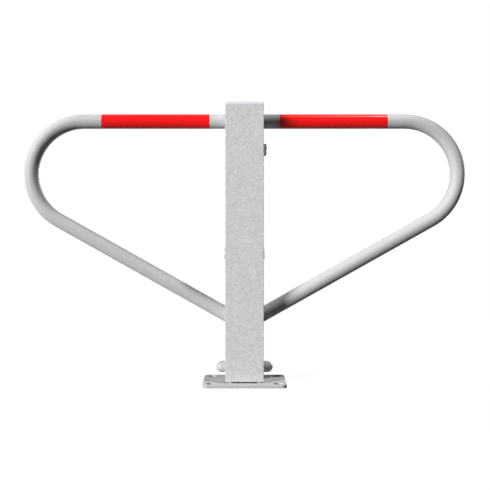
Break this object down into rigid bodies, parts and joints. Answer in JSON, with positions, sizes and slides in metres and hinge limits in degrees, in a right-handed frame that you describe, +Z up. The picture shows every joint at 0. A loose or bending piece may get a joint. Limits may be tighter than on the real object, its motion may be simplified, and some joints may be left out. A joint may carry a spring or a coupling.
{
  "type": "folding parking barrier",
  "caption": "Fold-down parking barrier: square galvanised post hinged on a ground plate, bent tube wings with red reflective bands, and a key lock that drops a bar into the base.",
  "frame": {"origin": "middle of the ground plate's underside", "axes": "+X along the wings towards the lock's side, +Y to the rear, where the post folds, +Z up"},
  "size_m": [0.833, 0.1, 0.5175],
  "materials": {
    "galvanised": "hot-dip galvanised, satin with a fine mottle",
    "zinc_steel": "zinc plated, satin",
    "axle_steel": "turned steel, satin",
    "red_film": "retroreflective film, glossy",
    "cap_plastic": "moulded, satin",
    "bush_plastic": "moulded, smooth",
    "lock_chrome": "polished",
    "lock_brass": "turned brass"
  },
  "bodies": {
    "base": {"base_plate": "galvanised", "hinge_cheek_left": "galvanised", "hinge_cheek_right": "galvanised", "lock_keeper": "galvanised", "hinge_axle": "axle_steel", "axle_spring_pins": "zinc_steel"},
    "post": {"post_tube": "galvanised", "post_cap": "cap_plastic", "wing_left": "galvanised", "wing_right": "galvanised", "red_band_left": "red_film", "red_band_right": "red_film", "hinge_bush_left": "bush_plastic", "hinge_bush_right": "bush_plastic", "guide_sleeve_nut": "zinc_steel", "guide_screw": "zinc_steel", "guide_spacer_left": "zinc_steel", "guide_spacer_right": "zinc_steel", "lower_bar_guide": "galvanised", "lock_barrel": "lock_chrome", "lock_ring_nut": "lock_brass"},
    "lock_core": {"lock_plug": "lock_chrome", "lock_cam": "zinc_steel", "cam_screw": "zinc_steel", "drive_pin": "axle_steel", "drive_pin_clip": "zinc_steel"},
    "lock_bar": {"lock_bar": "zinc_steel"}
  },
  "joints": [
    {"name": "post_fold", "type": "hinge", "parent": "base", "child": "post", "pos_m": [0, 0.0205, 0.027], "axis": [-1, 0, 0], "range_deg": [0, 90]},
    {"name": "bar_slide", "type": "slide", "parent": "post", "child": "lock_bar", "axis": [0, 0, -1], "range_m": [0, 0.01414]},
    {"name": "key_turn", "type": "hinge", "parent": "post", "child": "lock_core", "pos_m": [0.035, 0.00004, 0.434], "axis": [1, 0, 0], "range_deg": [0, 90]}
  ],
  "couplings": [
    {"joint": "key_turn", "follows": "bar_slide", "rad_per_m": 111.07}
  ]
}
